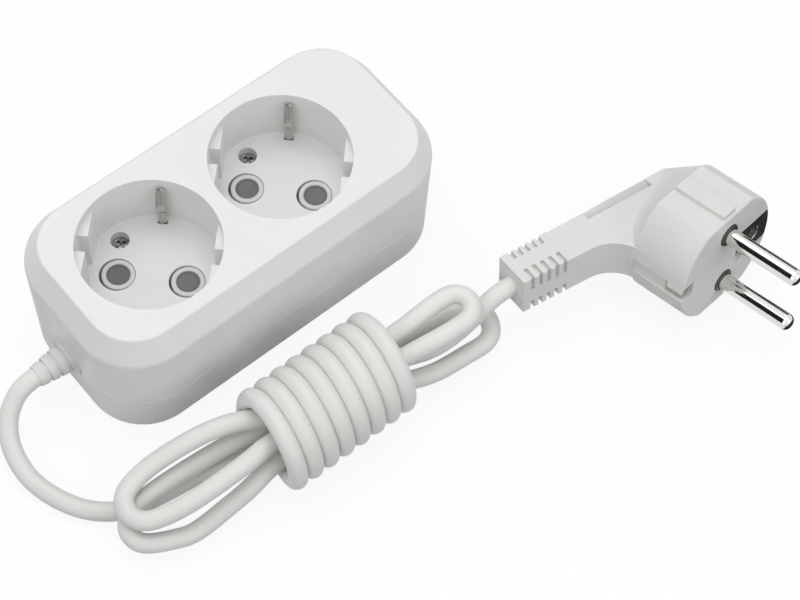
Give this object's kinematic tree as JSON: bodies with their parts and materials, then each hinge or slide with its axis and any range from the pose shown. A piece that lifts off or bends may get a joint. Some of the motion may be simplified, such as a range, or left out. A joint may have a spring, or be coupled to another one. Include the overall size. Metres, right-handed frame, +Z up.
{
  "type": "extension socket block",
  "caption": "White moulded extension block with round earthed socket wells, a thick cord bundled by its own turns and an angled moulded plug with round pins.",
  "frame": {"origin": "bottom centre of the housing, without the cord, its sleeve and the plug", "axes": "+X along the housing, away from the cord outlet; +Y across it; +Z up out of the socket wells"},
  "size_m": [0.2057, 0.1442, 0.0429],
  "materials": {
    "housing_white": "satin",
    "cord_white": "satin",
    "plug_white": "satin",
    "guide_grey": "matte",
    "collar_black": "matte",
    "contact_brass": "satin",
    "pin_chrome": "polished",
    "spring_steel": "satin",
    "screw_steel": "satin",
    "wire_brown": "satin",
    "wire_blue": "satin",
    "wire_green": "satin"
  },
  "bodies": {
    "root": {"top_cover": "housing_white", "base_cover": "housing_white", "line_rail": "contact_brass", "neutral_rail": "contact_brass", "earth_link": "contact_brass", "cover_screws": "screw_steel", "cable_clamp": "guide_grey", "clamp_screws": "screw_steel", "cord_inner": "cord_white", "strain_relief": "plug_white", "plug_body": "plug_white", "plug_pin_line": "pin_chrome", "plug_pin_neutral": "pin_chrome", "plug_pin_collar_line": "collar_black", "plug_pin_collar_neutral": "collar_black", "plug_earth_bracket": "spring_steel", "contact_block_1": "guide_grey", "contact_block_2": "guide_grey", "earth_clip_1": "spring_steel", "earth_clip_2": "spring_steel", "pin_collar_1": "housing_white", "pin_collar_2": "housing_white", "pin_collar_3": "housing_white", "pin_collar_4": "housing_white", "line_wire": "wire_brown", "neutral_wire": "wire_blue", "earth_wire": "wire_green", "cord_lead": "cord_white", "cord_hank": "cord_white", "cord_tail": "cord_white"}
  },
  "joints": []
}
